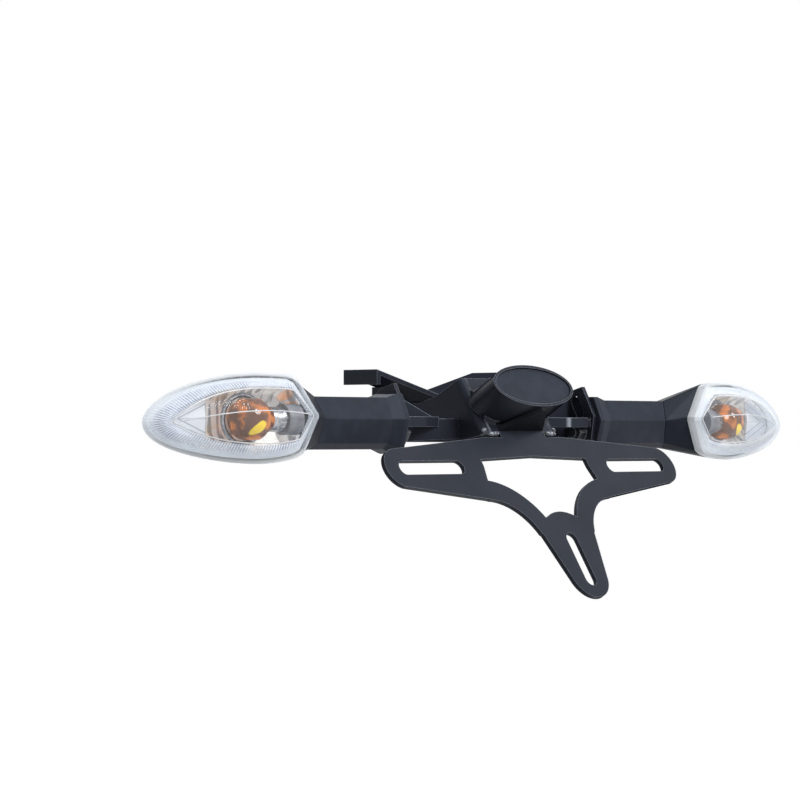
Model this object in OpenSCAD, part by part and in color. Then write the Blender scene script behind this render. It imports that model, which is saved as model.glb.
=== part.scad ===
// Tail tidy for a motorbike: a folded steel number plate holder on a spine, an oval tube
// stub closed by a rubber plug, two arms that carry the indicators, and the mounting plate.
// Millimetres. +X is the rider's right, +Y is forward, +Z is up. The origin is the centre
// of the four mounting holes, on the top face of the mounting plate.

/* [Number plate holder] */
// Thickness of every folded sheet
sheet_t = 2; // [1.5:0.1:3]
// Overall width of the plate holder
holder_w = 188; // [176:2:210]
// Lean of the number plate from upright, its foot to the rear
plate_lean = 32; // [24:1:38]
// Slope of the top edges of the two arms, in degrees
arm_top_slope = 5.2; // [3:0.1:7]
// Radius of the rounded arm ends
arm_end_r = 9.1; // [8:0.1:11]
// Width of the bolt slots
slot_w = 6.5; // [5.5:0.5:7]
// Length of the two side slots
side_slot_len = 39; // [24:1:42]
// Length of the slot in the leg
leg_slot_len = 25.5; // [16:0.5:28]
// How far the leg reaches below the side slots
leg_drop = 67.4; // [62:0.2:76]
// Radius of the leg's round foot
leg_r = 11.4; // [9:0.2:13]
// Width of the window at its lower corners
window_w = 72; // [60:1:80]
// Width of the curved braces between window and leg
brace_w = 9.5; // [7:0.5:12]

/* [Spine] */
// Width over the two cheeks
spine_w = 48; // [46:1:54]
// Outside radius of the folds
fold_r = 3.2; // [3.1:0.1:5]
// Width of the neck that joins holder and spine
neck_w = 28.8; // [22:0.4:34]
// Height of the relief gap beside the neck
relief_h = 2.6; // [2:0.1:4]
// Length of the spine's rear face
web_h = 27; // [25:0.5:32]

/* [Oval tube] */
// Half width of the oval tube
tube_a = 25.2; // [20:0.2:25.4]
// Half height of the oval tube
tube_c = 10.4; // [9:0.2:11]
// Wall of the oval tube
tube_wall = 1.3; // [1.2:0.1:2.4]
// How far the tube stands out from the spine
tube_len = 16.5; // [10:0.5:24]
// Height of the tube's axis above the side slots, along the plate
tube_up = 27; // [26.4:0.2:29]
// How far the plug's face sits inside the tube
plug_inset = 0.8; // [0.2:0.1:3]

/* [Arms] */
// Inside distance between the two side plates
side_gap = 121; // [114:1:130]
// Sweep of the arms, forward as they go out
arm_sweep = 14.5; // [12:0.5:17]
// Height of the arm beside the spine
arm_h = 8.5; // [7:0.1:10]
// Height of the strap that ties side plate and arm
strap_h = 4.3; // [3.5:0.1:5]
// Diameter of the stud that holds an indicator
stud_d = 5; // [4:0.5:6]

/* [Mounting plate] */
// Mounting hole diameter
mount_hole_d = 6.5; // [5.5:0.5:7]
// Mounting hole pitch across the bike
mount_pitch_x = 30; // [26:1:32]
// Mounting hole pitch along the bike
mount_pitch_y = 50; // [40:1:56]
// Width of the mounting plate
mount_w = 62; // [58:1:76]
// Length of the mounting plate
mount_len = 74; // [66:1:84]
// Drop from the mounting face to the datum line, just above the side slots
plate_drop = 25; // [24.5:0.5:27]
// Distance from the mounting centre back to the datum line
plate_back = 110; // [110:1:130]

/* [Tail cradle] */
// Half width of the cradle
cradle_a = 41.8; // [34:0.1:46]
// Rise of the cradle's two sides, in degrees
cradle_rise = 14.8; // [12:0.1:17]
// Length of the cradle along the bike
cradle_len = 20; // [14:1:21]
// Depth of its turned-down lips
cradle_lip = 6.5; // [4:0.5:10]

/* [Indicators] */
// Length of the head
head_len = 84; // [78:0.5:90]
// Height of the head
head_h = 36; // [34:0.2:38]
// Sweep of the head, tip forward
head_sweep = 8.6; // [4:0.2:12]
// Crown of the lens above its rim
lens_crown = 11; // [8:0.5:14]
// Wall of the clear lens
lens_wall = 2; // [1.4:0.1:2.6]
// Depth of the housing behind the rim
housing_depth = 19; // [17:0.5:22]
// Wall of the housing
housing_wall = 2.4; // [1.8:0.1:3]
// Length of the stem between side plate and housing, along its rear ridge
stem_len = 48; // [42:1:52]
// Bulb glass diameter
bulb_d = 15; // [13:0.5:15.5]
// Bulb cap diameter
cap_d = 10; // [8:0.5:12]

/* [Hidden] */
$fn = 48;

steel = [0.17, 0.18, 0.2];
rubber = [0.24, 0.25, 0.27];
plastic = [0.2, 0.21, 0.24];
zinc = [0.62, 0.63, 0.65];
glass = [0.86, 0.89, 0.93];
chrome = [0.78, 0.79, 0.8];
amber = [0.85, 0.42, 0.12];

// Small overlap so that cuts pass clean through a face
cut = 0.5;
// Fit between pieces that slide into each other
fit = 0.15;

// Number plate holder, in the plane of the sheet: x across, y up from the side slots' top edge
arm_end_x = holder_w / 2 - arm_end_r;
arm_mid_y = -slot_w / 2;
arm_bottom_slope = 8.1;
arm_root_x = 40;
arm_root_y = arm_mid_y - arm_end_r / cos(arm_bottom_slope) - (arm_end_x - arm_root_x) * tan(arm_bottom_slope);
holder_top_y = arm_mid_y + arm_end_r / cos(arm_top_slope) + arm_end_x * tan(arm_top_slope);
brace_x = 41;
brace_y = -44;
brace_r = 25;
leg_root_x = 16.6;
leg_root_y = -36.5;
leg_foot_y = leg_r - leg_drop;
side_slot_x = holder_w / 2 - 8 - side_slot_len;
leg_slot_y = leg_foot_y - 5.7 + slot_w / 2;
window_top_y = 1.9;
window_side_x = window_w / 2 - 1.7;
window_low_y = -10.3;
cusp_r = 18.7;

// Spine, from the same plane
neck_y = holder_top_y - spine_w / 2 * tan(arm_top_slope) - 1;
web_y = holder_top_y - spine_w / 2 * tan(arm_top_slope) + relief_h;
web_top_y = web_y + web_h;
cheek_x = spine_w / 2 - sheet_t;

// The datum line lies on the sheet's rear face, this far above the side slots' top edge
datum_up = 1.75;

// Side view, from the datum, of a point d in front of the sheet's rear face and v up it
function side_y(d, v) = (v - datum_up) * sin(plate_lean) + d * cos(plate_lean);
function side_z(d, v) = (v - datum_up) * cos(plate_lean) - d * sin(plate_lean);

// The same way back: d and v of a point in side view
function in_sheet(y, z) = [y * cos(plate_lean) - z * sin(plate_lean),
    datum_up + y * sin(plate_lean) + z * cos(plate_lean)];

// Arms, side plates and indicators, measured from the datum
arm_x = spine_w / 2;
arm_y = 20.7;
arm_low_z = 7.5;
arm_top_z = arm_low_z + arm_h;
arm_knee_x = arm_x + 11.8;
side_x = side_gap / 2;
side_top_z = 30.6;
strap_y = 18;
strap_z = 12.5;
strap_bend_x = side_x - 13.8;
strap_end_x = arm_x + 10.2;
stud_y = 24;
stud_z = 10.2;
function arm_face_y(x) = arm_y + (x - arm_x) * tan(arm_sweep);

stem_x = side_x + sheet_t;
flange_t = 2.6;
stem_mid_y = 25;
stem_mid_z = 15.3;
stem_slant = 0.8;
// Flare of the housing, from the stem's end to the point of the chevron
flare_len = 12;
head_x = stem_x + stem_len + flare_len;
head_y = 7.5;
head_z = 15.2;
head_rows = 26;
head_mid_s = 0.35 * head_len;
head_half = head_h / 2;
lens_wall_y = 3.6;
reflector_depth = 12;
bulb_y = 2.6;
holder_x = 9.5;
holder_len = 7;
holder_wall = 1.2;
cap_len = 12;

// Mounting plate and cradle
mount_hole_x = mount_pitch_x / 2;
mount_hole_y = mount_pitch_y / 2;
cradle_y = 52;
cradle_apex_z = plate_drop + 1.2;
cheek_low_z = 6;
cheek_top_z = 21.2;

module from_datum() {
    translate([0, -plate_back, -plate_drop]) children();
}

module on_plate() {
    from_datum() rotate([-plate_lean, 0, 0]) translate([0, 0, -datum_up]) children();
}

// Stands a flat outline up in the sheet's plane, its rear face at the sheet's rear face
module sheet(t = sheet_t) {
    translate([0, t, 0]) rotate([90, 0, 0]) linear_extrude(t) children();
}

// Turns a side view, y forward and z up, into a plate that starts at x
module side_sheet(x, t = sheet_t) {
    translate([x, 0, 0]) rotate([90, 0, 90]) linear_extrude(t) children();
}

module both_sides() {
    children();
    mirror([1, 0, 0]) children();
}

module on_side(side) {
    mirror([side < 0 ? 1 : 0, 0, 0]) children();
}

function oval(a, c, n = 64) = [for (i = [0:n - 1]) [a * cos(i * 360 / n), c * sin(i * 360 / n)]];

module slot(len, w) {
    translate([0, -w / 2]) square([len - w, w]);
    for (x = [0, len - w]) translate([x, 0]) circle(d = w);
}

// Flat holder

module holder_outline() {
    arc = [for (a = [90 - arm_top_slope:-8:-90 + arm_bottom_slope])
        [arm_end_x + arm_end_r * cos(a), arm_mid_y + arm_end_r * sin(a)]];
    half = concat([[0, neck_y], [spine_w / 2, neck_y + 1]], arc, [[arm_root_x, arm_root_y],
        [leg_root_x, leg_root_y], [0, leg_root_y]]);
    both_sides() polygon(half);
}

module leg_outline() {
    both_sides() polygon([[0, leg_root_y + 1], [leg_root_x, leg_root_y], [leg_r - 0.2, leg_foot_y - 2], [0, leg_foot_y]]);
    translate([0, leg_foot_y]) circle(r = leg_r);
}

module window_outline() {
    difference() {
        both_sides() polygon([[0, window_top_y], [window_side_x, 0.4], [window_side_x, -3],
            [window_w / 2, window_low_y], [brace_x, brace_y], [0, brace_y]]);
        both_sides() translate([brace_x, brace_y]) circle(r = brace_r + brace_w);
        translate([0, window_top_y - 27.6 - cusp_r]) circle(r = cusp_r);
    }
}

module holder_flat() {
    difference() {
        union() {
            holder_outline();
            leg_outline();
            translate([-neck_w / 2, neck_y - 1]) square([neck_w, relief_h + 4]);
            translate([-spine_w / 2 + fold_r, web_y]) square([spine_w - 2 * fold_r, web_h]);
        }
        both_sides() translate([brace_x, brace_y]) circle(r = brace_r);
        window_outline();
        both_sides() translate([side_slot_x + slot_w / 2, arm_mid_y]) slot(side_slot_len, slot_w);
        translate([0, leg_slot_y]) rotate(90) slot(leg_slot_len, slot_w);
    }
}

// Quarter turn of the sheet beside the web, on the +X side
module web_fold() {
    translate([spine_w / 2 - fold_r, fold_r, web_y]) intersection() {
        difference() {
            cylinder(r = fold_r, h = web_h);
            translate([0, 0, -cut]) cylinder(r = fold_r - sheet_t, h = web_h + 2 * cut);
        }
        translate([0, -fold_r - cut, -cut]) cube([fold_r + cut, fold_r + cut, web_h + 2 * cut]);
    }
}

// Cheek in the sheet's own d and v, from the fold forward to the front of the mounting plate
module cheek_outline() {
    front = plate_back + mount_len / 2;
    under = plate_drop - sheet_t;
    cradle_low = cradle_apex_z + cheek_x * tan(cradle_rise) - sheet_t / cos(cradle_rise);
    fold_y = side_y(fold_r, web_y);
    polygon([[fold_r, web_y],
        in_sheet(fold_y + 9, cheek_low_z + 0.9),
        in_sheet(fold_y + 22, cheek_low_z),
        in_sheet(cradle_y + 8, cheek_low_z),
        in_sheet(front, under - 5),
        in_sheet(front, under),
        in_sheet(plate_back - mount_len / 2 - 1, under),
        in_sheet(cradle_y + cradle_len, cradle_low),
        in_sheet(cradle_y + cradle_len - 7, cradle_low),
        in_sheet(cradle_y + cradle_len - 11, cheek_top_z),
        in_sheet(cradle_y - 3, cheek_top_z),
        in_sheet(34, cheek_top_z + 4.6),
        [fold_r, web_top_y]]);
}

module plate_holder() {
    color(steel) {
        on_plate() {
            sheet() holder_flat();
            both_sides() {
                web_fold();
                side_sheet(cheek_x) cheek_outline();
            }
        }
    }
}

// Oval tube stub, its plug, its gusset and its weld

module on_tube() {
    on_plate() translate([0, 0, tube_up]) children();
}

module tube() {
    color(steel) on_tube() translate([0, -tube_len, 0]) sheet(tube_len) difference() {
        polygon(oval(tube_a, tube_c));
        polygon(oval(tube_a - tube_wall, tube_c - tube_wall));
    }
}

module tube_plug() {
    plug_depth = 9;
    plug_wall = 2.5;
    a = tube_a - tube_wall - fit;
    c = tube_c - tube_wall - fit;
    color(rubber) on_tube() translate([0, plug_inset - tube_len, 0]) difference() {
        sheet(plug_depth) polygon(oval(a, c));
        translate([0, 2, 0]) sheet(plug_depth) polygon(oval(a - plug_wall, c - plug_wall));
    }
}

module tube_gusset() {
    tip = 1.4;
    color(steel) on_tube() translate([0, 0, -tube_c - sheet_t]) linear_extrude(sheet_t)
        polygon([[-neck_w / 2, 0], [-tip, -tube_len + 0.5], [tip, -tube_len + 0.5], [neck_w / 2, 0]]);
}

module tube_weld() {
    bead = 1.7;
    half = spine_w / 2 - fold_r;
    color(steel) on_tube() difference() {
        intersection() {
            hull() {
                translate([0, -0.2, 0]) sheet(0.2) polygon(oval(tube_a + bead, tube_c + bead));
                translate([0, -bead, 0]) sheet(0.2) polygon(oval(tube_a + 0.2, tube_c + 0.2));
            }
            translate([-half, -bead - cut, -tube_c - bead]) cube([2 * half, bead + cut, 2 * (tube_c + bead)]);
        }
        translate([0, -bead - cut, 0]) sheet(bead + 2 * cut) polygon(oval(tube_a, tube_c));
        translate([-neck_w / 2 - 1, -bead - cut, -tube_c - sheet_t]) cube([neck_w + 2, bead + 2 * cut, sheet_t + 1.5]);
    }
}

// Mounting plate and cradle

module mount_places() {
    for (x = [-1, 1], y = [-1, 1]) translate([x * mount_hole_x, y * mount_hole_y, 0]) children();
}

module mounting_plate() {
    corner = 8;
    color(steel) difference() {
        translate([0, 0, -sheet_t]) linear_extrude(sheet_t) {
            square([mount_w - 2 * corner, mount_len], center = true);
            square([mount_w, mount_len - 2 * corner], center = true);
            for (x = [-1, 1], y = [-1, 1])
                translate([x * (mount_w / 2 - corner), y * (mount_len / 2 - corner)]) circle(r = corner);
        }
        mount_places() translate([0, 0, -sheet_t - cut]) cylinder(d = mount_hole_d, h = sheet_t + 2 * cut);
    }
}

module tail_cradle() {
    t = sheet_t / cos(cradle_rise);
    wing_z = cradle_a * tan(cradle_rise);
    lip_x = cradle_a - sheet_t;
    half = [[cradle_a, wing_z], [cradle_a, wing_z - cradle_lip], [lip_x, wing_z - cradle_lip],
        [lip_x, wing_z - sheet_t * tan(cradle_rise) - t]];
    color(steel) from_datum() translate([0, cradle_y, cradle_apex_z]) sheet(cradle_len)
        polygon(concat([[0, 0]], half, [[0, -t]], [for (i = [3:-1:0]) [-half[i][0], half[i][1]]]));
}

// Arms and side plates, on the +X side

module arm(side) {
    rise_x = side_x - 2.5;
    run = side_x - arm_x;
    color(steel) on_side(side) from_datum() intersection() {
        translate([arm_x, arm_y, 0]) rotate([0, 0, arm_sweep]) translate([-arm_x, 0, 0]) sheet()
            polygon([for (p = [[arm_x - sheet_t, arm_low_z], [arm_x - sheet_t, arm_top_z], [arm_knee_x, arm_top_z],
                [rise_x, side_top_z - 3], [side_x + sheet_t, side_top_z - 2], [side_x + sheet_t, arm_low_z - 1.5]])
                [arm_x + (p[0] - arm_x) / cos(arm_sweep), p[1]]]);
        translate([arm_x, 0, 0]) cube([run, 60, 60]);
    }
}

module side_outline() {
    polygon([[23, side_top_z], [16.2, 17.6], [17.8, 5.5], [20, 4.5], [31, 4.5], [33, 7], [33, 26], [31, side_top_z - 2.2]]);
}

module side_plate(side) {
    notch_r = 0.9;
    color(steel) on_side(side) from_datum() difference() {
        union() {
            side_sheet(side_x) side_outline();
            translate([0, 0, strap_z]) linear_extrude(strap_h)
                polygon([[side_x, strap_y], [strap_bend_x, strap_y + 0.8],
                    [strap_end_x, arm_face_y(strap_end_x)], [strap_end_x + 3.4, arm_face_y(strap_end_x + 3.4)],
                    [strap_bend_x + 0.9, strap_y + 0.8 + sheet_t], [side_x, strap_y + sheet_t]]);
        }
        translate([side_x - cut, stud_y, stud_z]) rotate([0, 90, 0]) cylinder(d = stud_d + 0.4, h = sheet_t + 2 * cut);
        side_sheet(side_x - cut, sheet_t + 2 * cut) translate([24.2, 19]) rotate(62) slot(10.5, 4.6);
        for (z = [strap_z, strap_z + strap_h])
            translate([side_x - 1, strap_y - cut, z]) rotate([-90, 0, 0]) cylinder(r = notch_r, h = sheet_t + 2 * cut);
    }
}

// Indicators, on the +X side

// Stem section in side view, grown by g; rear ridge at low y
module stem_section(g = 0) {
    polygon([for (p = [[-10, 0.3], [-6.2, 9.3], [5, 9.3], [9, 0.3], [6, -9.7], [3, -12.2], [-4, -12.2], [-7.2, -9.7]])
        [stem_mid_y + p[0] * (1 + g / 10), stem_mid_z + p[1] * (1 + g / 10)]]);
}

// Thin slice of the stem at its slanting end, on the outer or the inner side of the joint
module stem_end(x) {
    rear_y = stem_mid_y - 10;
    multmatrix([[1, stem_slant, 0, -stem_slant * rear_y], [0, 1, 0, 0], [0, 0, 1, 0]])
        side_sheet(x, 0.4) stem_section();
}

module stem(side) {
    color(rubber) on_side(side) from_datum() difference() {
        union() {
            hull() {
                side_sheet(stem_x, flange_t) stem_section(1.6);
                side_sheet(stem_x + flange_t + 5, 1) stem_section();
            }
            hull() {
                side_sheet(stem_x + flange_t, 1) stem_section();
                stem_end(stem_x + stem_len - 0.4);
            }
        }
        translate([stem_x - cut, stud_y, stud_z]) rotate([0, 90, 0]) cylinder(d = stud_d + 2 * fit, h = 14);
    }
}

module stud(side) {
    color(zinc) on_side(side) from_datum() translate([side_x - 6, stud_y, stud_z]) rotate([0, 90, 0])
        cylinder(d = stud_d, h = sheet_t + 6 + 13);
}

module washer(side) {
    color(zinc) on_side(side) from_datum() translate([side_x - 1, stud_y, stud_z]) rotate([0, 90, 0]) difference() {
        cylinder(d = 2 * stud_d - 1, h = 1);
        translate([0, 0, -cut]) cylinder(d = stud_d + 0.3, h = 1 + 2 * cut);
    }
}

module nut(side) {
    color(zinc) on_side(side) from_datum() translate([side_x - 5, stud_y, stud_z]) rotate([0, 90, 0]) difference() {
        rotate(30) cylinder(d = 1.6 * stud_d / cos(30), h = 4, $fn = 6);
        translate([0, 0, -cut]) cylinder(d = stud_d, h = 4 + 2 * cut);
    }
}

module at_head(side) {
    on_side(side) from_datum() translate([head_x, head_y, head_z]) rotate([0, 0, head_sweep]) children();
}

// Outline of the head's face. s runs from the point of the chevron to the tip, and the
// rows crowd at both ends. Above and below, a bow is cut off by one side of the chevron.
function row_s(i) = head_len * (1 - cos(180 * i / head_rows)) / 2;
function soft_min(a, b) = (a + b - sqrt((a - b) * (a - b) + 2)) / 2;
function bow(s, back_len) = head_half * (s > head_mid_s
    ? sqrt(1 - pow((s - head_mid_s) / (head_len - head_mid_s), 1.8))
    : sqrt(1 - pow((head_mid_s - s) / back_len, 2)));
function mid_z(s) = 0.4 - 2 * pow(s / head_len, 4);
function top_z(s) = mid_z(s) + max(0.3, soft_min(1.8 + 1.37 * s, bow(s, 90)));
function low_z(s) = mid_z(s) - max(0.3, soft_min(2 * s, bow(s, 38)));

// Ridge that both halves of the lens rise to
function ridge_s(s) = 5 + s * (head_len - 16) / head_len;
function ridge_z(s) = 1.8 - 3.4 * pow(s / head_len, 2) + 2.2 * sin(180 * s / head_len);

// Closed row of points [s, z] round the face: over the top to the tip and back below,
// drawn in by g on all sides
function face_row(g) = [for (k = [0:2 * head_rows + 1])
    let (over = k <= head_rows, s = row_s(over ? k : 2 * head_rows + 1 - k), z = over ? top_z(s) : low_z(s))
    [1.2 * g + s * (1 - 2.2 * g / head_len), 0.4 + (z - 0.4) * (1 - g / head_half)]];

// The same row at depth y in front of the face, where the head tapers to the tip
function behind(g, y, taper_s, taper_z) = [for (p = face_row(g))
    [p[0] * (1 - taper_s * y), y, p[1] * (1 - taper_z * y)]];

// The same row part of the way, t, to the ridge, on a crown that rises to the rear
function crown_row(g, t) = [for (p = face_row(g)) let (s = p[0], rise = 0.45 + 0.55 * sin(180 * s / head_len))
    [s + (ridge_s(s) - s) * t, -(lens_crown - g) * rise * (1 - pow(1 - t, 1.8)), p[1] + (ridge_z(s) - p[1]) * t]];

// Skin through closed rows of points, the foremost row first
module skin(rows) {
    n = len(rows[0]);
    last = (len(rows) - 1) * n;
    polyhedron([for (row = rows) each row], concat(
        [for (r = [0:len(rows) - 2], k = [0:n - 1]) let (a = r * n, b = (k + 1) % n) [a + k, a + b, a + n + b]],
        [for (r = [0:len(rows) - 2], k = [0:n - 1]) let (a = r * n, b = (k + 1) % n) [a + k, a + n + b, a + n + k]],
        [for (k = [0:n / 2 - 2]) [last + k, last + k + 1, last + n - 2 - k]],
        [for (k = [0:n / 2 - 2]) [last + k, last + n - 2 - k, last + n - 1 - k]],
        [for (k = [0:n / 2 - 2]) [n - 2 - k, k + 1, k]],
        [for (k = [0:n / 2 - 2]) [n - 1 - k, n - 2 - k, k]]));
}

crown_steps = [0.1, 0.25, 0.42, 0.6, 0.78, 0.94];
wall_taper_s = 0.0125;
wall_taper_z = 0.006;
housing_taper_s = 0.0165;
housing_taper_z = 0.017;

module lens_form(g, y) {
    skin(concat([behind(g, y, wall_taper_s, wall_taper_z)], [behind(g, 0, 0, 0)],
        [for (t = crown_steps) crown_row(g, t)]));
}

module lens(side) {
    color(glass, 0.45) at_head(side) difference() {
        lens_form(0, lens_wall_y);
        lens_form(lens_wall, lens_wall_y + 0.3);
    }
}

// Housing in front of the lens, from y0 to its own depth less g
module housing_form(g, y0) {
    deep = housing_depth - g;
    skin(concat([for (y = [deep, deep * 0.93]) behind(g + (y == deep ? 3 : 1), y, housing_taper_s, housing_taper_z)],
        [behind(g, deep * 0.75, housing_taper_s, housing_taper_z)],
        [behind(g, y0, wall_taper_s, wall_taper_z)]));
}

module housing(side) {
    color(plastic) difference() {
        hull() {
            at_head(side) housing_form(0, lens_wall_y);
            on_side(side) from_datum() stem_end(stem_x + stem_len);
        }
        at_head(side) housing_form(housing_wall, lens_wall_y - 0.3);
        at_head(side) seal_form(0);
    }
}

module seal_form(g) {
    difference() {
        skin([behind(0.6 + g, lens_wall_y + 1 - g, wall_taper_s, wall_taper_z),
            behind(0.6 + g, lens_wall_y, wall_taper_s, wall_taper_z)]);
        skin([behind(1.6 - g, lens_wall_y + 1 + cut, wall_taper_s, wall_taper_z),
            behind(1.6 - g, lens_wall_y - cut, wall_taper_s, wall_taper_z)]);
    }
}

module seal(side) {
    color(rubber) at_head(side) seal_form(0.1);
}

module on_bulb_axis(x) {
    translate([x, bulb_y, 0]) rotate([0, 90, 0]) children();
}

// Bowl of the reflector, drawn in by g
module bowl(g, y0) {
    deep = lens_wall_y + reflector_depth - g;
    skin([behind(g + 6, deep, housing_taper_s, housing_taper_z),
        behind(g + 2.5, deep - 2, housing_taper_s, housing_taper_z),
        behind(g, y0, wall_taper_s, wall_taper_z)]);
}

module reflector(side) {
    gauge = 1.2;
    color(chrome) at_head(side) difference() {
        bowl(housing_wall + fit, lens_wall_y);
        bowl(housing_wall + fit + gauge, lens_wall_y - cut);
        on_bulb_axis(0) cylinder(d = cap_d + 2 * holder_wall, h = holder_x + holder_len);
    }
}

module bulb_holder(side) {
    color(plastic) at_head(side) on_bulb_axis(holder_x) difference() {
        cylinder(d = cap_d + 2 * holder_wall, h = holder_len);
        translate([0, 0, 2]) cylinder(d = cap_d, h = holder_len);
    }
}

module bulb_cap(side) {
    color(zinc) at_head(side) on_bulb_axis(holder_x + 2) cylinder(d = cap_d, h = cap_len);
}

module bulb_glass(side) {
    r = bulb_d / 2;
    neck_r = cap_d / 2 - 0.4;
    high = r * 1.15;
    foot = asin(neck_r / r);
    color(amber) at_head(side) on_bulb_axis(holder_x + 2 + cap_len) rotate_extrude()
        polygon(concat([[0, 0], [neck_r, 0]],
            [for (a = [0:12]) let (b = 180 - foot - (180 - foot) * a / 12) [r * sin(b), 1.5 + high * (cos(b) + cos(foot))]]));
}

plate_holder();
tube();
tube_plug();
tube_gusset();
tube_weld();
mounting_plate();
tail_cradle();
arm(-1);  // left_arm
arm(1);  // right_arm
side_plate(-1);  // left_side_plate
side_plate(1);  // right_side_plate
stem(-1);  // left_stem
stem(1);  // right_stem
stud(-1);  // left_stud
stud(1);  // right_stud
washer(-1);  // left_washer
washer(1);  // right_washer
nut(-1);  // left_nut
nut(1);  // right_nut
housing(-1);  // left_housing
housing(1);  // right_housing
seal(-1);  // left_seal
seal(1);  // right_seal
lens(-1);  // left_lens
lens(1);  // right_lens
reflector(-1);  // left_reflector
reflector(1);  // right_reflector
bulb_holder(-1);  // left_bulb_holder
bulb_holder(1);  // right_bulb_holder
bulb_cap(-1);  // left_bulb_cap
bulb_cap(1);  // right_bulb_cap
bulb_glass(-1);  // left_bulb_glass
bulb_glass(1);  // right_bulb_glass
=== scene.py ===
"""A motorbike tail tidy in a plain white studio: finishes, fine pieces, light and camera."""

import math

import bmesh
import bpy
from mathutils import Matrix, Vector


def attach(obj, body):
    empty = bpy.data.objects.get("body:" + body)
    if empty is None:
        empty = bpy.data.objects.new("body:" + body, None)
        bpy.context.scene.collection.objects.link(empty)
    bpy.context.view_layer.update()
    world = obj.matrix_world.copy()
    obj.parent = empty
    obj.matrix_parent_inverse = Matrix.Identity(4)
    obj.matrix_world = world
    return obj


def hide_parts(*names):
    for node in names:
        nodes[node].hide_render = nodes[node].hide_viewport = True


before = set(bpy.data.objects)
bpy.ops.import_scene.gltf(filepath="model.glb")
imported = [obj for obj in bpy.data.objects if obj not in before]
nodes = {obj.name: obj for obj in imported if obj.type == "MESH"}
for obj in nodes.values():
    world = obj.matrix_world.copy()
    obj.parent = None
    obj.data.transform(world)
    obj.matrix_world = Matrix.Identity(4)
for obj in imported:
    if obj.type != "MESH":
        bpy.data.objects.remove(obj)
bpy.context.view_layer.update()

MM = 0.001
scene = bpy.context.scene
scene.view_settings.view_transform = "Standard"


# Folded sheet and tube: 2 mm mild steel, bent, welded and then powder coated nearly black.
# The coat has a fine orange peel and a cold cast. Its colour is painted lighter along the cut
# edges, partly as coat worn thin and partly as painted highlight, and a painted highlight runs
# along the outside of the two folds and where the right strap is bent.
LEAN = math.radians(32)
DATUM = Vector((0, -110, -25))
DATUM_UP = 1.75
COLD = (0.75, 0.87, 1.0, 1)
# Lighter steel colour for the edges, partly wear and partly painted highlight, and for the painted
# highlights on folds and strap.
WEAR_AND_HIGHLIGHT_STEEL = (0.34, 0.37, 0.43)
FOLD_X = 19.8
STRAP_BEND = Vector((46.7, -91.3, -10.4))


class Socket:
    """One output of a shader node. Sums and products of sockets add Math nodes."""

    def __init__(self, tree, output=None):
        self.tree = tree
        self.output = output

    def make(self, kind, settings, sockets, out=0):
        """Adds a node of that kind: its settings, then the values or links of its sockets."""
        made = self.tree.nodes.new("ShaderNode" + kind)
        for name, value in settings.items():
            setattr(made, name, value)
        for name, value in sockets.items():
            if isinstance(value, Socket):
                self.tree.links.new(value.output, made.inputs[name])
            else:
                made.inputs[name].default_value = value
        return Socket(self.tree, made.outputs[out])

    def math(self, operation, other=0.0):
        return self.make("Math", {"operation": operation}, {0: self, 1: other})

    def __add__(self, other):
        return self.math("ADD", other)

    __radd__ = __add__

    def __sub__(self, other):
        return self.math("SUBTRACT", other)

    def __rsub__(self, other):
        return self.make("Math", {"operation": "SUBTRACT"}, {0: other, 1: self})

    def __mul__(self, other):
        return self.math("MULTIPLY", other)

    __rmul__ = __mul__

    def size(self):
        return self.math("ABSOLUTE")

    def squared(self):
        return self.math("POWER", 2.0)

    def or_more(self, other):
        return self.math("MAXIMUM", other)

    def ramp(self, low, high, start=0.0, end=1.0):
        """start below low, end above high, smooth between."""
        limits = {0: self, 1: low, 2: high, 3: start, 4: end}
        return self.make("MapRange", {"interpolation_type": "SMOOTHSTEP"}, limits)

    def line(self, half_width):
        """1 where this is zero, falling to 0 at half_width on either side."""
        return self.size().ramp(0, half_width, 1.0, 0.0)

    def noise(self, size_mm, detail=2.0):
        """Noise with features of that size, for a Socket that holds a place in metres."""
        return self.make("TexNoise", {}, {"Vector": self, "Scale": 1 / (size_mm * MM), "Detail": detail})

    def mix(self, first, second):
        """Colour between first and second, by this Socket."""
        first, second = [one if isinstance(one, Socket) else (*one, 1) for one in (first, second)]
        return self.make("Mix", {"data_type": "RGBA"}, {0: self, 6: first, 7: second}, out=2)


def material(name, metallic=0.0, roughness=0.5, **constants):
    """A Principled material. Returns it, its shader node and the surface's place in the frame."""
    made = bpy.data.materials.new(name)
    made.use_nodes = True
    shader = made.node_tree.nodes["Principled BSDF"]
    shader.inputs["Metallic"].default_value = metallic
    shader.inputs["Roughness"].default_value = roughness
    for key, value in constants.items():
        shader.inputs[key.replace("_", " ")].default_value = value
    return made, shader, Socket(made.node_tree).make("TexCoord", {}, {}, out="Object")


def paint(shader, **varying):
    for key, value in varying.items():
        shader.id_data.links.new(value.output, shader.inputs[key.replace("_", " ")])


def soft_edge(place, radius_mm):
    """The surface's direction with its edges rounded, and how much of an edge it is."""
    rounded = place.make("Bevel", {"samples": 6}, {"Radius": radius_mm * MM})
    straight = place.make("NewGeometry", {}, {}, out="Normal")
    turned = place.make("VectorMath", {"operation": "DOT_PRODUCT"}, {0: rounded, 1: straight}, out=1)
    return rounded, (1.0 - turned).ramp(0.02, 0.25)


def bumpy(grain, depth_mm, strength, rounded):
    """The rounded direction of the surface, with a grain of that depth pressed into it."""
    sockets = {"Strength": strength, "Distance": depth_mm * MM, "Height": grain, "Normal": rounded}
    return grain.make("Bump", {}, sockets)


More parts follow.
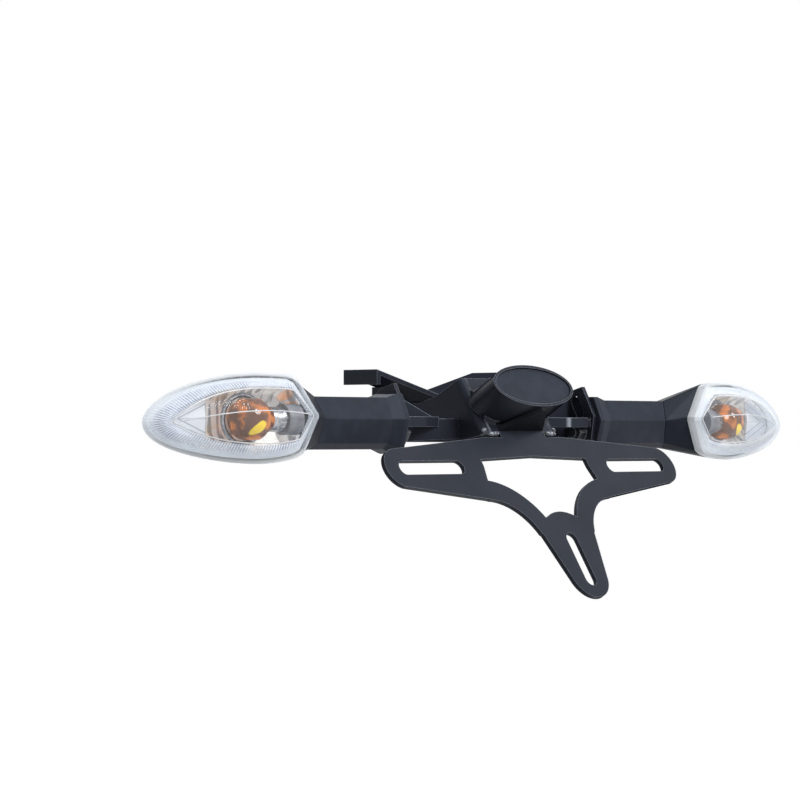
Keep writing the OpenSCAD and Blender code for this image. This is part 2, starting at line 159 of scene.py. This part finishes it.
def dull_at_a_glance(shader, place, colour):
    """Takes the gloss off where the surface is seen along its face, as a fine texture does."""
    sockets = {"Base Color": colour, "Roughness": 1.0, "Specular IOR Level": 0.0}
    dull = place.make("BsdfPrincipled", {}, sockets)
    glance = place.make("LayerWeight", {}, {"Blend": 0.5}, out="Facing").ramp(0.55, 0.85)
    mixed = place.make("MixShader", {}, {0: glance, 1: Socket(place.tree, shader.outputs[0]), 2: dull})
    place.tree.links.new(mixed.output, place.tree.nodes["Material Output"].inputs["Surface"])


def dress(made, *names):
    for name in names:
        node = nodes[name]
        node.data.materials.clear()
        node.data.materials.append(made)


def both(name):
    return ["left_" + name, "right_" + name]


def in_mm(place):
    """A surface's x, y and z in the frame, in millimetres."""
    apart = place.make("SeparateXYZ", {}, {0: place}).output.node
    return [Socket(place.tree, axis) * 1000 for axis in apart.outputs]


def from_sheet(x, y, z):
    """The place across, up and out of the plate holder's leaning sheet."""
    y, z = y - DATUM.y, z - DATUM.z
    up = z * math.cos(LEAN) + y * math.sin(LEAN) + DATUM_UP
    return x, up, z * math.sin(LEAN) - y * math.cos(LEAN)


coat, shader, place = material(
    "powder_coat", roughness=0.4, IOR=1.25, Specular_IOR_Level=0.5, Specular_Tint=COLD
)
grain = place.noise(0.6, 3)
rounded, edge = soft_edge(place, 0.55)
satin = place.noise(22).ramp(0.3, 0.7).mix((0.017, 0.020, 0.029), (0.023, 0.026, 0.037))
x, y, z = in_mm(place)
# Painted highlight: a lighter band where the right strap is bent.
strap_height = (z - STRAP_BEND.z).size().ramp(2.0, 2.6, 1.0, 0.0)
strap_depth = (y - STRAP_BEND.y).size().ramp(1.8, 2.2, 1.0, 0.0)
strap = (x - STRAP_BEND.x).line(1.9) * strap_height * strap_depth
x, up, out = from_sheet(x, y, z)
# Painted highlight: a lighter, patchy band along the outside of both folds.
fold = (x.size() - FOLD_X).line(1.3) * (out + 0.9).line(1.9) * up.ramp(12, 14)
painted_highlight = (fold * place.noise(7).ramp(0.3, 0.6)).or_more(strap)
# Cut edges painted lighter: partly coat worn thin, partly painted highlight.
steel_colour = edge.or_more(painted_highlight).mix(satin, WEAR_AND_HIGHLIGHT_STEEL)
paint(
    shader,
    Base_Color=steel_colour,
    Roughness=grain.ramp(0.3, 0.7, 0.36, 0.48) - edge * 0.1,
    Normal=bumpy(grain, 0.05, 0.2, rounded),
)
dull_at_a_glance(shader, place, steel_colour)
dress(coat, "plate_holder", "tube", "tube_weld", "mounting_plate", "tail_cradle")
dress(coat, *both("arm"), *both("side_plate"))


# Gusset under the tube: a triangle cut from the same sheet and welded in. Its coat is dull,
# and its colour is painted much darker, a painted shade under the tube.
shaded, shader, place = material("shaded_coat", roughness=0.6, Specular_IOR_Level=0.08)
# Painted shade: a colour far darker than the coat elsewhere.
painted_shade = place.noise(6).ramp(0.3, 0.7).mix((0.006, 0.007, 0.009), (0.011, 0.012, 0.016))
paint(shader, Base_Color=painted_shade)
dress(shaded, "tube_gusset")


# Weld runs at the two relief gaps, where the web meets the holder: short steel beads of
# overlapping ripples, laid by hand. Their dark colour is mottled with light patches, painted
# highlights that stand for the glints of the welds.
RIPPLE_MM = 1.3
RINGS_PER_RIPPLE = 4
END_SHARE = 0.2


def piece(name, form, made):
    """Turns a bmesh into a smooth piece that rides on the frame."""
    form.normal_update()
    bmesh.ops.recalc_face_normals(form, faces=form.faces)
    mesh = bpy.data.meshes.new(name)
    form.to_mesh(mesh)
    form.free()
    mesh.shade_smooth()
    mesh.materials.append(made)
    built = bpy.data.objects.new(name, mesh)
    scene.collection.objects.link(built)
    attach(built, "root")
    return built


def on_sheet(x, v, out):
    """A place on the holder's sheet, in mm: across, up from the side slots, out of its rear face."""
    up = Vector((0, math.sin(LEAN), math.cos(LEAN)))
    rear = Vector((0, -math.cos(LEAN), math.sin(LEAN)))
    return DATUM + Vector((x, 0, 0)) + up * (v - DATUM_UP) + rear * out


def weld_run(name, start, end, radius_mm):
    """A bead from start to end, in mm: one rippled tube with closed, rounded ends."""
    length = (end - start).length
    along = (end - start) / length
    side = along.cross(Vector((0.3, 0.5, 0.8))).normalized()
    rings = max(6, int(length / RIPPLE_MM * RINGS_PER_RIPPLE))
    form = bmesh.new()
    ring = bmesh.ops.create_circle(form, cap_ends=True, segments=10, radius=radius_mm * END_SHARE)["verts"]
    turn = Matrix((side, along.cross(side), along)).transposed()
    for v in ring:
        v.co = start + turn @ v.co
    face = form.faces[:][0]
    for step in range(1, rings + 1):
        grown = bmesh.ops.extrude_face_region(form, geom=[face])["geom"]
        if step > 1:
            bmesh.ops.delete(form, geom=[face], context="FACES_ONLY")
        face = [one for one in grown if isinstance(one, bmesh.types.BMFace)][0]
        share = step / rings
        middle = start + along * length * share
        wave = 1 - 0.22 * abs(math.sin(math.pi * length * share / RIPPLE_MM))
        round_off = math.sqrt(max(END_SHARE**2, 1 - (2 * share - 1) ** 8))
        for v in face.verts:
            arm = v.co - middle
            arm -= along * arm.dot(along)
            v.co = middle + arm.normalized() * radius_mm * wave * round_off
    bmesh.ops.scale(form, vec=(MM, MM, MM), verts=form.verts)
    return piece(name, form, weld)


weld, shader, place = material("weld_with_painted_glints", roughness=0.25, Specular_IOR_Level=0.5)
# Painted highlight: light patches mottle the dark colour of the beads.
paint(shader, Base_Color=place.noise(1.5).ramp(0.4, 0.6).mix((0.06, 0.066, 0.08), (0.40, 0.43, 0.50)))

for side, word in ((-1, "left"), (1, "right")):
    weld_run(word + "_relief_weld", on_sheet(side * 15.4, 13.2, 0.2), on_sheet(side * 21.8, 12.9, 0.2), 0.9)
    weld_run(word + "_relief_dab", on_sheet(side * 21.6, 15.2, -0.2), on_sheet(side * 23.6, 15.4, -1.4), 1.2)


# Plug in the tube's mouth, the indicators' stems and the lenses' gaskets: moulded black
# rubber with a dull bloom and the fine matt grain of its mould. Each is only pushed in.
rubber, shader, place = material("rubber", roughness=0.5, Specular_IOR_Level=0.18, Specular_Tint=COLD)
grain = place.noise(0.35)
rounded, edge = soft_edge(place, 0.9)
bloom = place.noise(7, 3).ramp(0.3, 0.7).mix((0.017, 0.020, 0.031), (0.024, 0.028, 0.042))
# Edges are painted lighter, a painted highlight along them.
paint(
    shader,
    Base_Color=edge.mix(bloom, (0.07, 0.075, 0.09)),
    Roughness=grain.ramp(0.3, 0.7, 0.5, 0.62),
    Normal=bumpy(grain, 0.05, 0.3, rounded),
)
dress(rubber, "tube_plug", *both("stem"), *both("seal"))


# Housings: black plastic shells out of a polished mould. They flare from the stem to the
# lens's rim, and a hint of the mould's texture keeps their gloss low.
plastic, shader, place = material(
    "black_plastic", roughness=0.45, Specular_IOR_Level=0.12, Specular_Tint=COLD
)
grain = place.noise(0.4)
rounded, edge = soft_edge(place, 0.8)
paint(
    shader,
    Base_Color=place.noise(9).ramp(0.3, 0.7).mix((0.008, 0.010, 0.016), (0.012, 0.014, 0.022)),
    Roughness=grain.ramp(0.3, 0.7, 0.42, 0.5),
    Normal=bumpy(grain, 0.04, 0.15, rounded),
)
dress(plastic, *both("housing"))


# Studs, washers and nuts that hold the indicators to the side plates: turned steel with a
# black zinc plating, a little worn on its edges.
black_zinc, shader, place = material("black_zinc", metallic=0.6, roughness=0.38)
rounded, edge = soft_edge(place, 0.4)
plating = place.noise(3).ramp(0.3, 0.7).mix((0.030, 0.033, 0.040), (0.055, 0.060, 0.070))
paint(shader, Base_Color=edge.mix(plating, (0.30, 0.32, 0.36)), Normal=rounded)
dress(black_zinc, *both("stud"), *both("washer"), *both("nut"))


# Bulb caps: thin brass cups pressed over the neck of each bulb, plated with bright zinc
# that has gone cloudy.
zinc, shader, place = material("zinc", metallic=1.0, roughness=0.3)
paint(
    shader,
    Base_Color=place.noise(1.2).ramp(0.3, 0.7).mix((0.20, 0.21, 0.23), (0.45, 0.46, 0.49)),
    Roughness=place.noise(0.6).ramp(0.3, 0.7, 0.24, 0.42),
)
dress(zinc, *both("bulb_cap"))


# Lenses: clear acrylic, moulded 2 mm thick and glued into the housing's rim. Clear in the
# middle, with a cold tint. Seen at a glance it turns pale and more opaque, a painted
# reflection, and its wall glows a cold white, painted light.
HEAD_LEN = 84
HEAD_HALF = 18
HEAD_MID = 0.35 * HEAD_LEN
HEAD_AT = Vector((122.5, -102.5, -9.8))
HEAD_TURN = Matrix.Rotation(math.radians(8.6), 3, "Z")


def in_head(place):
    """A surface's place in millimetres along the head, in front of its face, and up."""
    x, y, z = in_mm(place)
    x, y, z = x.size() - HEAD_AT.x, y - HEAD_AT.y, z - HEAD_AT.z
    turn, rise = HEAD_TURN[0][0], HEAD_TURN[1][0]
    return x * turn + y * rise, y * turn - x * rise, z


lens, shader, place = material(
    "clear_lens", roughness=0.05, Specular_IOR_Level=0.5, Emission_Strength=0.13
)
s, y, z = in_head(place)
# Painted reflection where the lens is seen at a glance; painted light glowing from its wall.
glance = place.make("LayerWeight", {}, {"Blend": 0.35}, out="Facing")
wall = y.ramp(-2.6, -0.7)
paint(
    shader,
    Base_Color=glance.ramp(0.3, 0.9).mix((0.90, 0.94, 0.98), (0.74, 0.80, 0.88)),
    Alpha=glance.ramp(0.25, 1.0, 0.05, 0.6).or_more(wall * 0.72),
    Emission_Color=wall.mix((0, 0, 0), (0.9, 0.95, 1.0)),
)
dress(lens, *both("lens"))


# Ribbed rim inside each lens: a band of fine ribs moulded into the acrylic, which follows
# the outline. Its ribs are painted white and the gaps between them blue, painted light and
# shade, and the band glows in these colours, painted light carried through the acrylic. A
# white bead along its inner edge and a white thread on the crown's ridge are painted
# highlights.
RIBS = 132
STEPS_PER_RIB = 4
RIB_RISE = 0.45
RIM_INSET = 2.3
MIDDLE_Z = 0.4
CROWN = 11
RIM_FRONT = ((0, 3.1), (0.02, 0), (0.10, 0), (0.18, 0), (0.27, 0))
RIM_BACK = ((0.27, 0.8), (0.15, 0.8), (0.06, 0.8), (0.03, 3.1))


def bow(s, back_len):
    """Half the height of the outline at s, without the chevron that cuts off its inner end."""
    if s > HEAD_MID:
        return HEAD_HALF * math.sqrt(max(0, 1 - ((s - HEAD_MID) / (HEAD_LEN - HEAD_MID)) ** 1.8))
    return HEAD_HALF * math.sqrt(1 - ((HEAD_MID - s) / back_len) ** 2)


def soft_min(a, b):
    return (a + b - math.sqrt((a - b) ** 2 + 2)) / 2


def edges_at(s):
    """Lower and upper edge of the lens's outline at s."""
    middle = MIDDLE_Z - 2 * (s / HEAD_LEN) ** 4
    low = max(0.3, soft_min(2 * s, bow(s, 38)))
    high = max(0.3, soft_min(1.8 + 1.37 * s, bow(s, 90)))
    return middle - low, middle + high


def outline(count):
    """count places [s, z], evenly spaced round the lens's outline."""
    fine = [HEAD_LEN * (1 - math.cos(math.pi * i / 400)) / 2 for i in range(401)]
    loop = [(s, edges_at(s)[1]) for s in fine] + [(s, edges_at(s)[0]) for s in reversed(fine)]
    loop.append(loop[0])
    lengths = [0]
    for a, b in zip(loop, loop[1:]):
        lengths.append(lengths[-1] + math.dist(a, b))
    even, at = [], 0
    for i in range(count):
        goal = lengths[-1] * i / count
        while lengths[at + 1] < goal:
            at += 1
        share = (goal - lengths[at]) / (lengths[at + 1] - lengths[at])
        even.append([a + (b - a) * share for a, b in zip(loop[at], loop[at + 1])])
    return even


def under_crown(s, z, wall_mm, share):
    """A place [s, y, z] that far in from the outline on the lens's crown, wall_mm inside it."""
    s = 1.2 * wall_mm + s * (1 - 2.2 * wall_mm / HEAD_LEN)
    z = MIDDLE_Z + (z - MIDDLE_Z) * (1 - wall_mm / HEAD_HALF)
    rise = 0.45 + 0.55 * math.sin(math.pi * max(0, min(1, s / HEAD_LEN)))
    ridge_s = 5 + s * (HEAD_LEN - 16) / HEAD_LEN
    ridge_z = 1.8 - 3.4 * (s / HEAD_LEN) ** 2 + 2.2 * math.sin(math.pi * s / HEAD_LEN)
    y = -(CROWN - wall_mm) * rise * (1 - (1 - share) ** 1.8)
    return s + (ridge_s - s) * share, y, z + (ridge_z - z) * share


def wider(s):
    """The rim takes more of the way to the ridge toward the tip."""
    return 1 + 1.9 * (s / HEAD_LEN) ** 5


def from_head(side, s, y, z):
    """A place in the head, in millimetres, as metres in the frame."""
    spot = HEAD_AT + HEAD_TURN @ Vector((s, y, z))
    return Vector((side * spot.x, spot.y, spot.z)) * MM


def ribbed_band(side, word):
    """The rim's front and back, each a few loops with a rib every few steps, bridged into one."""
    form = bmesh.new()
    rib = form.verts.layers.float.new("rib")
    frost = form.verts.layers.float.new("frost")
    loops = []
    for share, back in RIM_FRONT + RIM_BACK:
        front = (share, back) in RIM_FRONT
        ring = []
        for k, (s, z) in enumerate(outline(STEPS_PER_RIB * RIBS)):
            raised = k % STEPS_PER_RIB in (1, 2)
            s, y, z = under_crown(s, z, RIM_INSET, share * wider(s))
            v = form.verts.new(from_head(side, s, y + back + (RIB_RISE if front and raised else 0), z))
            v[rib] = float(raised)
            v[frost] = float(front)
            ring.append(v)
        loops.append([form.edges.new(pair) for pair in zip(ring, ring[1:] + ring[:1])])
    for one, two in zip(loops, loops[1:] + loops[:1]):
        bmesh.ops.bridge_loops(form, edges=one + two)
    return piece(word + "_rim", form, ribbed)


def thread(name, spots, radius_mm, closed, made):
    """A fine round bead through spots, in metres, made as a curve and turned into a mesh."""
    curve = bpy.data.curves.new(name, "CURVE")
    curve.dimensions = "3D"
    curve.bevel_depth = radius_mm * MM
    curve.bevel_resolution = 2
    curve.use_fill_caps = True
    run = curve.splines.new("POLY")
    run.points.add(len(spots) - 1)
    for point, spot in zip(run.points, spots):
        point.co = (*spot, 1)
    run.use_cyclic_u = closed
    shape = bpy.data.objects.new(name + "_curve", curve)
    scene.collection.objects.link(shape)
    bpy.context.view_layer.update()
    form = bmesh.new()
    form.from_mesh(shape.to_mesh())
    bpy.data.objects.remove(shape)
    return piece(name, form, made)


ribbed, shader, place = material(
    "ribbed_rim", roughness=0.25, Specular_IOR_Level=0.5, Emission_Strength=0.24
)
rib, frost = [place.make("Attribute", {"attribute_name": word}, {}, out="Fac") for word in ("rib", "frost")]
cloud = place.noise(9).ramp(0.35, 0.65)
# Painted light and shade on the ribs, which also glow in these colours as painted light.
painted_rib_light_and_shade = rib.mix((0.93, 0.95, 0.98), cloud.mix((0.30, 0.40, 0.60), (0.62, 0.71, 0.85)))
paint(shader, Base_Color=painted_rib_light_and_shade, Emission_Color=painted_rib_light_and_shade, Alpha=frost.ramp(0, 1, 0.02, 0.82))

# White beads that stand for bright lines of light on the acrylic: painted highlights.
bright, shader, place = material("painted_highlight_line", roughness=0.2, Specular_IOR_Level=0.6)
paint(shader, Base_Color=place.noise(5).ramp(0.3, 0.7).mix((0.86, 0.89, 0.94), (0.97, 0.98, 1.0)))

for side, word in ((-1, "left"), (1, "right")):
    ribbed_band(side, word)
    inner = [from_head(side, *under_crown(s, z, 2.4, 0.3 * wider(s))) for s, z in outline(240)]
    thread(word + "_rim_bead", inner, 0.3, True, bright)
    fine = [HEAD_LEN * (0.03 + 0.94 * i / 60) for i in range(61)]
    ridge = [from_head(side, *under_crown(s, edges_at(s)[1], 0.6, 1.0)) for s in fine]
    thread(word + "_ridge_line", ridge, 0.22, False, bright)


# Reflectors: plastic bowls with a bright vapour coat in upright facets. Their reflections
# are painted on: pale and grey facets, amber patches for the bulb, a glowing white spot for a
# flash and faintly glowing glints.
FLASH_S, FLASH_Z = 19.5, -6.0
chrome, shader, place = material("chrome", metallic=0.3, roughness=0.16, Emission_Strength=1.0)
s, y, z = in_head(place)


def facets(s_scale, y_scale, z_scale, detail):
    """Noise that is stretched by other amounts along the head, out of its face and up."""
    spot = s.make("CombineXYZ", {}, {"X": s * s_scale, "Y": y * y_scale, "Z": z * z_scale})
    return s.make("TexNoise", {}, {"Vector": spot, "Scale": 1.0, "Detail": detail})


# Painted reflections: pale and grey facets, warm patches and the bulb's amber.
facet = facets(0.45, 0.2, 0.07, 1.0)
painted_warm_reflection = facets(0.12, 0.1, 0.16, 2.0).ramp(0.5, 0.62)
painted_facet_reflections = facet.ramp(0.4, 0.56).mix((0.40, 0.40, 0.42), (0.97, 0.97, 0.95))
# Painted reflection of a flash: a glowing white spot.
flash = (s - FLASH_S).squared() + (z - FLASH_Z).squared() + (facet - 0.5) * 60
high = (s - 12).squared() + (z - 10).squared() * 0.5
low = (s - 9).squared() + (z - 5.5).squared()
painted_bulb_reflection = high.math("MINIMUM", low).ramp(2, 5, 1.0, 0.0)
# Painted glints: facets and the flash spot glow white.
glint = facet.ramp(0.36, 0.6, 0.06, 0.2).or_more(flash.ramp(38, 50, 0.85, 0.0))
paint(
    shader,
    Base_Color=painted_bulb_reflection.mix((painted_warm_reflection * 0.5).mix(painted_facet_reflections, (0.80, 0.58, 0.30)), (0.75, 0.28, 0.06)),
    Emission_Color=glint.mix((0, 0, 0), (1.0, 0.97, 0.93)),
    Roughness=facet.ramp(0.35, 0.65, 0.1, 0.24),
)
dress(chrome, *both("reflector"))


# Pointed outer panel of each reflector, vapour coated plastic with two nested chevron creases
# and a middle line, drawn as darker lines of painted shade, and the plated wire ring that
# stands round the bulb.
PANEL_FROM = 53.5
PANEL_TO = 72
PANEL_GRID = 24
RING_S, RING_Y, RING_R = 32.4, 6.5, 9.6
plated_panel, shader, place = material("plated_panel", metallic=0.35, roughness=0.28)
s, y, z = in_head(place)
chevron = (z - 0.2).size() + (s - 67) * 0.42
painted_crease_shade = chevron.line(0.5).or_more((chevron - 3.2).line(0.45)).or_more((z - 0.1).line(0.3) * 0.7)
# Painted shade: dark lines where the chevrons and the middle crease are.
paint(shader, Base_Color=painted_crease_shade.mix((0.80, 0.83, 0.88), (0.38, 0.42, 0.48)))


def outer_panel(side, word):
    """A grid drawn out to the outline's point, raised along its middle and 1 mm thick."""
    form = bmesh.new()
    bmesh.ops.create_grid(form, x_segments=PANEL_GRID, y_segments=PANEL_GRID, size=1)
    for v in form.verts:
        s = PANEL_FROM + (PANEL_TO - PANEL_FROM) * (v.co.x + 1) / 2
        edges = edges_at(min(HEAD_LEN, s * 1.07 + 2.5))
        low, high = [MIDDLE_Z + (edge - MIDDLE_Z) * 0.66 for edge in edges]
        z = low + (high - low) * (v.co.y + 1) / 2
        y = 2.2 - 1.2 * (1 - min(1, abs(z) / 10))
        v.co = from_head(side, s, y, z)
    built = piece(word + "_panel", form, plated_panel)
    built.modifiers.new("wall", "SOLIDIFY").thickness = 1 * MM
    return built


for side, word in ((-1, "left"), (1, "right")):
    outer_panel(side, word)
    turns = [math.tau * i / 64 for i in range(64)]
    circle = [(RING_S + RING_R * math.cos(a), RING_Y, RING_R * math.sin(a)) for a in turns]
    thread(word + "_bulb_ring", [from_head(side, *spot) for spot in circle], 1.0, True, zinc)


# Bulb holders: short tubes of grey heat-proof plastic, moulded. They stand on the inner
# end of the housing, and the bulbs' caps are pushed into them.
grey, shader, place = material("grey_plastic", roughness=0.45, Specular_IOR_Level=0.3)
paint(shader, Base_Color=place.noise(4).ramp(0.3, 0.7).mix((0.20, 0.21, 0.24), (0.30, 0.31, 0.35)))
dress(grey, *both("bulb_holder"))


# Bulbs: blown amber glass with a round end on a short neck. The glass goes at random from
# brown to orange, with a yellow patch of painted light where light comes through, and it glows
# faintly in these colours, painted light.
BULB_PROFILE = (
    (0, 23.5), (4.6, 23.5), (4.8, 25.5), (7.2, 27.2), (8.3, 29),
    (8.3, 34.5), (7.7, 37), (6.2, 39.2), (3.6, 40.7), (0, 41.2),
)
BULB_Y = 1.8
amber, shader, place = material(
    "amber_glass", roughness=0.12, Specular_IOR_Level=0.5, Emission_Strength=0.25
)
s, y, z = in_head(place)
swirl = place.noise(6)
along = (s - 33) * 0.22 - (z + 3.6) * 0.16
across = (s - 33) * 0.33 + (z + 3.6) * 0.45
# Painted light: a yellow spot on the glass, which also glows through the emission.
painted_glow_spot = along.squared() + across.squared() + ((y + 5.5) * 0.13).squared() + (swirl - 0.5) * 3
tone = swirl.ramp(0.46, 0.66).mix((0.15, 0.055, 0.022), (0.66, 0.20, 0.03))
glass_with_painted_light = painted_glow_spot.ramp(0.7, 1.4, 1.0, 0.0).mix(tone, (1.0, 0.72, 0.02))
paint(shader, Base_Color=glass_with_painted_light, Emission_Color=glass_with_painted_light, Roughness=swirl.ramp(0.3, 0.7, 0.08, 0.2))


def bulb(side, word):
    """The profile, as (radius, place along the head), spun round the bulb's axis."""
    form = bmesh.new()
    spots = [form.verts.new((0, r, s)) for r, s in BULB_PROFILE]
    edges = [form.edges.new(pair) for pair in zip(spots, spots[1:])]
    axis = {"cent": (0, 0, 0), "axis": (0, 0, 1), "angle": math.tau}
    bmesh.ops.spin(form, geom=spots + edges, steps=40, use_merge=True, **axis)
    bmesh.ops.remove_doubles(form, verts=form.verts, dist=0.001)
    for v in form.verts:
        v.co = from_head(side, v.co.z, BULB_Y + v.co.x, v.co.y)
    built = piece(word + "_bulb", form, amber)
    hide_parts(word + "_bulb_glass")


bulb(-1, "left")
bulb(1, "right")


# Studio: a pale floor well below the part, a white surround and three soft lights. Floor
# and surround are white only for rays from the camera, a reflection or clear plastic.
FLOOR_HALF = 60
FLOOR_Z = -0.42
AIM = Vector((0, -0.1, -0.02))


def seen(tree):
    """1 for a ray that shows the surroundings, 0 for one that lights the part."""
    kinds = ("Is Camera Ray", "Is Glossy Ray", "Is Transmission Ray")
    camera, glossy, through = [Socket(tree).make("LightPath", {}, {}, out=kind) for kind in kinds]
    return camera.or_more(glossy).or_more(through)


def soft_light(name, at, size, power):
    data = bpy.data.lights.new(name, "AREA")
    data.shape = "DISK"
    data.size = size
    data.energy = power
    lamp = bpy.data.objects.new(name, data)
    lamp.location = at
    lamp.rotation_euler = (Vector(at) - AIM).to_track_quat("Z", "Y").to_euler()
    scene.collection.objects.link(lamp)


pale, shader, place = material("pale_floor", roughness=0.9, Emission_Strength=0.86)
paint(
    shader,
    Base_Color=place.noise(400).ramp(0.3, 0.7).mix((0.29, 0.29, 0.29), (0.31, 0.31, 0.31)),
    Emission_Color=seen(place.tree).mix((0, 0, 0), (1, 1, 1)),
)
floor_form = bmesh.new()
bmesh.ops.create_grid(floor_form, x_segments=1, y_segments=1, size=FLOOR_HALF)
floor_mesh = bpy.data.meshes.new("floor")
floor_form.to_mesh(floor_mesh)
floor_form.free()
floor_mesh.materials.append(pale)
floor = bpy.data.objects.new("floor", floor_mesh)
floor.location = (0, 0, FLOOR_Z)
scene.collection.objects.link(floor)

world = bpy.data.worlds.new("studio")
scene.world = world
world.use_nodes = True
background = world.node_tree.nodes["Background"]
background.inputs["Color"].default_value = (1, 1, 1, 1)
surround = seen(world.node_tree).ramp(0, 1, 0.2, 1.0)
world.node_tree.links.new(surround.output, background.inputs["Strength"])

soft_light("key", (0.5, -1.8, 1.3), 1.0, 42)
soft_light("fill", (-1.4, -1.4, 0.8), 1.2, 3)
soft_light("rim", (0.4, 1.2, 1.4), 0.6, 22)


# Camera. It stands behind the bike, to its left and level with the number plate,
# 1.28 m from the plate holder, and looks forward and a little up.
CAMERA_AT = Vector((-0.97373, -0.94293, -0.01642))
CAMERA_AZIMUTH = math.radians(-46.92)
CAMERA_TILT = math.radians(-0.69)
back = Vector((
    math.sin(CAMERA_AZIMUTH) * math.cos(CAMERA_TILT),
    -math.cos(CAMERA_AZIMUTH) * math.cos(CAMERA_TILT),
    math.sin(CAMERA_TILT),
))
across = Vector((math.cos(CAMERA_AZIMUTH), math.sin(CAMERA_AZIMUTH), 0))
camera_data = bpy.data.cameras.new("camera")
camera_data.lens = 135
camera_data.sensor_width = 36
camera_data.clip_start = 0.01
camera = bpy.data.objects.new("camera", camera_data)
facing = Matrix((across, back.cross(across), back)).transposed().to_4x4()
camera.matrix_world = Matrix.Translation(CAMERA_AT) @ facing
scene.collection.objects.link(camera)
scene.camera = camera
